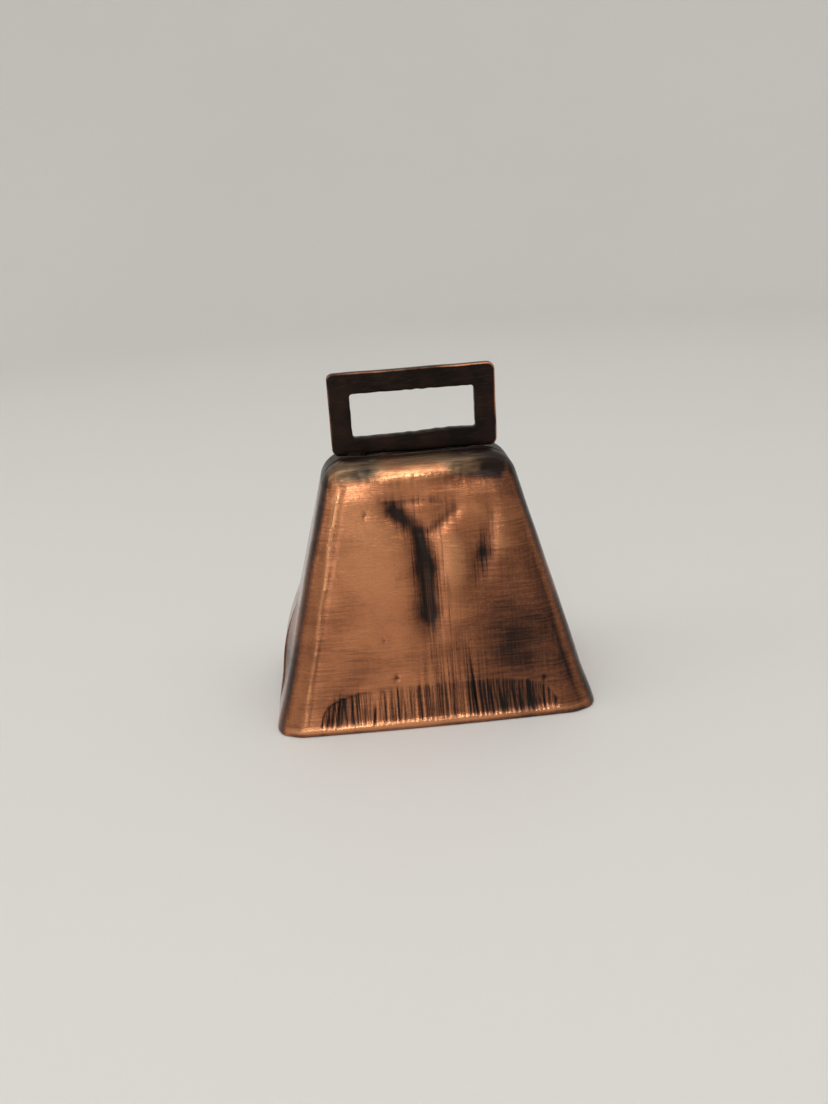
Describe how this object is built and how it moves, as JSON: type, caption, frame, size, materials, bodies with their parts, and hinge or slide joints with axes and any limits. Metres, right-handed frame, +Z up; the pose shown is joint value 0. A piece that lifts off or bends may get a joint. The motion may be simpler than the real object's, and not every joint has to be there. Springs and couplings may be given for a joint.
{
  "type": "cowbell",
  "caption": "Small pressed-metal cowbell: tapered rectangular body, flat loop handle on the crown, ball clapper hung inside on a chain link.",
  "frame": {"origin": "centre of the mouth, on the plane the bell stands on", "axes": "+X along the long side of the mouth, -Y towards the front of the bell, +Z up through the handle"},
  "size_m": [0.05, 0.033, 0.0527],
  "materials": {
    "copper": "antiqued copper plate on steel sheet, brushed, dark in the hollows",
    "blackened_steel": "blackened copper plate on steel, copper showing on worn edges",
    "steel_wire": "drawn wire, dull, lightly oxidised",
    "ball_steel": "turned steel, worn bright round its middle"
  },
  "bodies": {
    "bell": {"bell_front_shell": "copper", "bell_rear_shell": "copper", "handle": "blackened_steel", "clapper_hanger": "steel_wire"},
    "link": {"clapper_link": "steel_wire"},
    "clapper": {"clapper_stem": "steel_wire", "clapper_ball": "ball_steel"}
  },
  "joints": [
    {"name": "link_swing", "type": "hinge", "parent": "bell", "child": "link", "pos_m": [0, 0, 0.03395], "axis": [1, 0, 0], "range_deg": [-15, 15]},
    {"name": "clapper_swing", "type": "hinge", "parent": "link", "child": "clapper", "pos_m": [0, 0, 0.02975], "axis": [0, 1, 0], "range_deg": [-38, 38]}
  ]
}
